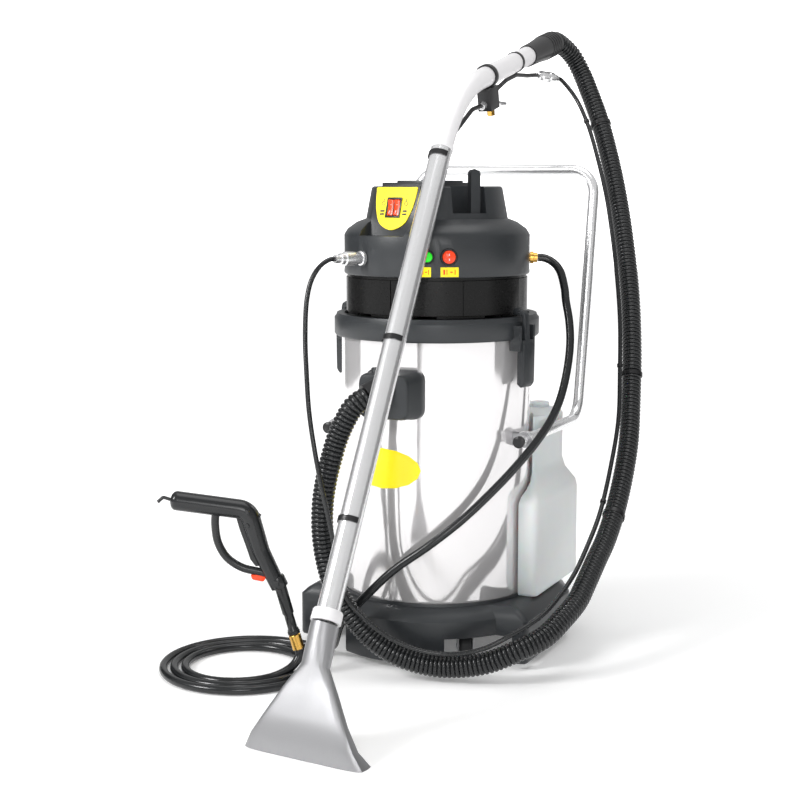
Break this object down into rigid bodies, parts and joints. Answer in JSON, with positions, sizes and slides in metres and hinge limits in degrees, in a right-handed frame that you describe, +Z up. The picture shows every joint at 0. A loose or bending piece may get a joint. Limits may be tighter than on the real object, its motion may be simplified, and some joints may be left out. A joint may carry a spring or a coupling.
{
  "type": "carpet extraction cleaner",
  "caption": "Wheeled wet-vacuum drum with turbine head, solution tank, push handle, carpet wand and coiled upholstery gun for spray-extraction cleaning.",
  "frame": {"origin": "on the floor under the middle of the machine's box, its free hoses left out", "axes": "+Z up, -Y towards the front where the wand's floor tool stands, +X to the viewer's right, where the solution tank stands"},
  "size_m": [0.7639, 1.3236, 1.2535],
  "materials": {
    "charcoal_plastic": "satin",
    "black_plastic": "matte",
    "polished_steel": "mirror polished",
    "brushed_steel": "brushed",
    "white_plastic": "satin",
    "tank_plastic": "translucent",
    "brass": "satin",
    "yellow_panel": "printed sheet",
    "red_plastic": "gloss",
    "green_plastic": "gloss",
    "tyre_rubber": "matte",
    "hose_rubber": "satin"
  },
  "bodies": {
    "machine": {"chassis_base": "charcoal_plastic", "rear_axle": "brushed_steel", "drum_shell": "polished_steel", "inlet_housing": "charcoal_plastic", "inlet_cuff": "black_plastic", "handle_tube": "polished_steel", "handle_cap_left": "black_plastic", "handle_bracket_left": "brushed_steel", "handle_cap_right": "black_plastic", "handle_bracket_right": "brushed_steel", "solution_tank": "tank_plastic", "collar_ring": "charcoal_plastic", "vent_ring": "black_plastic", "head_cover": "charcoal_plastic", "control_panel": "yellow_panel", "switch_frame": "black_plastic", "outlet_coupler": "polished_steel", "brass_outlet": "brass", "cable_gland": "black_plastic", "motor_plate": "black_plastic", "motor_housing": "black_plastic", "pump_body": "brushed_steel", "float_cage": "white_plastic", "floor_tool": "brushed_steel", "wand_tube": "polished_steel", "tool_collar": "white_plastic", "wand_bend": "white_plastic", "wand_cuff": "black_plastic", "wand_clip_low": "black_plastic", "wand_clip_middle": "black_plastic", "wand_clip_high": "black_plastic", "valve_body": "black_plastic", "spray_pipe": "hose_rubber", "valve_link_tube": "hose_rubber", "wand_coupler": "polished_steel", "gun_nut": "brass", "gun_body": "black_plastic", "suction_hose": "hose_rubber", "solution_hose": "hose_rubber", "gun_hose_coil": "hose_rubber", "gun_hose": "hose_rubber", "gun_hose_tail": "hose_rubber"},
    "rear_wheel_left": {"rear_wheel_left": "tyre_rubber"},
    "rear_wheel_right": {"rear_wheel_right": "tyre_rubber"},
    "caster_left": {"caster_fork_left": "brushed_steel"},
    "caster_roller_left": {"caster_wheel_left": "tyre_rubber"},
    "caster_right": {"caster_fork_right": "brushed_steel"},
    "caster_roller_right": {"caster_wheel_right": "tyre_rubber"},
    "latch_left": {"latch_left": "charcoal_plastic"},
    "latch_right": {"latch_right": "charcoal_plastic"},
    "rocker_vacuum": {"rocker_vacuum": "red_plastic"},
    "rocker_pump": {"rocker_pump": "red_plastic"},
    "green_button": {"green_button": "green_plastic"},
    "red_switch": {"red_switch": "red_plastic"},
    "valve_lever": {"valve_lever": "brushed_steel"},
    "gun_trigger": {"gun_trigger": "black_plastic"},
    "gun_lock": {"gun_lock": "red_plastic"},
    "impeller": {"impeller": "brushed_steel"},
    "float_ball": {"float_ball": "white_plastic"},
    "tank_cap": {"tank_cap": "black_plastic"}
  },
  "joints": [
    {"name": "rear_wheel_left_spin", "type": "hinge", "parent": "machine", "child": "rear_wheel_left", "pos_m": [-0.11852, 0.22408, 0.05], "axis": [1, 0, 0], "continuous": true},
    {"name": "rear_wheel_right_spin", "type": "hinge", "parent": "machine", "child": "rear_wheel_right", "pos_m": [0.24548, 0.22408, 0.05], "axis": [1, 0, 0], "continuous": true},
    {"name": "caster_swivel_left", "type": "hinge", "parent": "machine", "child": "caster_left", "pos_m": [-0.0532, -0.02759, 0], "axis": [0, 0, 1], "continuous": true},
    {"name": "caster_roll_left", "type": "hinge", "parent": "caster_left", "child": "caster_roller_left", "pos_m": [-0.04475, -0.0117, 0.027], "axis": [0.8829, -0.4695, 0], "continuous": true},
    {"name": "caster_swivel_right", "type": "hinge", "parent": "machine", "child": "caster_right", "pos_m": [0.18015, -0.02759, 0], "axis": [0, 0, 1], "continuous": true},
    {"name": "caster_roll_right", "type": "hinge", "parent": "caster_right", "child": "caster_roller_right", "pos_m": [0.1717, -0.0117, 0.027], "axis": [0.8829, 0.4695, 0], "continuous": true},
    {"name": "latch_left_rock", "type": "hinge", "parent": "machine", "child": "latch_left", "pos_m": [-0.14723, 0.10012, 0.612], "axis": [-0.0523, -0.9986, 0], "range_deg": [0, 11]},
    {"name": "latch_right_rock", "type": "hinge", "parent": "machine", "child": "latch_right", "pos_m": [0.26907, 0.04162, 0.612], "axis": [0.225, 0.9744, 0], "range_deg": [0, 11]},
    {"name": "rocker_vacuum_tilt", "type": "hinge", "parent": "machine", "child": "rocker_vacuum", "pos_m": [0.02621, -0.03899, 0.872], "axis": [0.9744, -0.225, 0], "range_deg": [-8.5, 0]},
    {"name": "rocker_pump_tilt", "type": "hinge", "parent": "machine", "child": "rocker_pump", "pos_m": [0.04083, -0.04236, 0.872], "axis": [0.9744, -0.225, 0], "range_deg": [-8.5, 0]},
    {"name": "green_button_press", "type": "slide", "parent": "machine", "child": "green_button", "axis": [-0.3173, 0.9483, 0], "range_m": [0, 0.0025], "stiffness_N_per_m": 600},
    {"name": "red_switch_press", "type": "slide", "parent": "machine", "child": "red_switch", "axis": [-0.515, 0.8572, 0], "range_m": [0, 0.0025]},
    {"name": "valve_lever_squeeze", "type": "hinge", "parent": "machine", "child": "valve_lever", "pos_m": [0.11729, 0.23879, 1.0823], "axis": [0.9999, 0.0169, 0], "range_deg": [0, 18], "stiffness_Nm_per_rad": 0.6},
    {"name": "gun_trigger_squeeze", "type": "hinge", "parent": "machine", "child": "gun_trigger", "pos_m": [-0.15905, -0.28378, 0.304], "axis": [-0.4067, 0.9135, 0], "range_deg": [-7, 0], "stiffness_Nm_per_rad": 0.8},
    {"name": "gun_lock_swing", "type": "hinge", "parent": "machine", "child": "gun_lock", "pos_m": [-0.13164, -0.27158, 0.19], "axis": [-0.4067, 0.9135, 0], "range_deg": [-25, 0]},
    {"name": "impeller_spin", "type": "hinge", "parent": "machine", "child": "impeller", "pos_m": [0.06348, 0.08908, 0], "axis": [0, 0, 1], "continuous": true},
    {"name": "float_rise", "type": "slide", "parent": "machine", "child": "float_ball", "axis": [0, 0, 1], "range_m": [0, 0.06]},
    {"name": "tank_cap_turn", "type": "hinge", "parent": "machine", "child": "tank_cap", "pos_m": [0.20948, 0.28908, 0.4614], "axis": [0, 0, 1], "continuous": true}
  ]
}
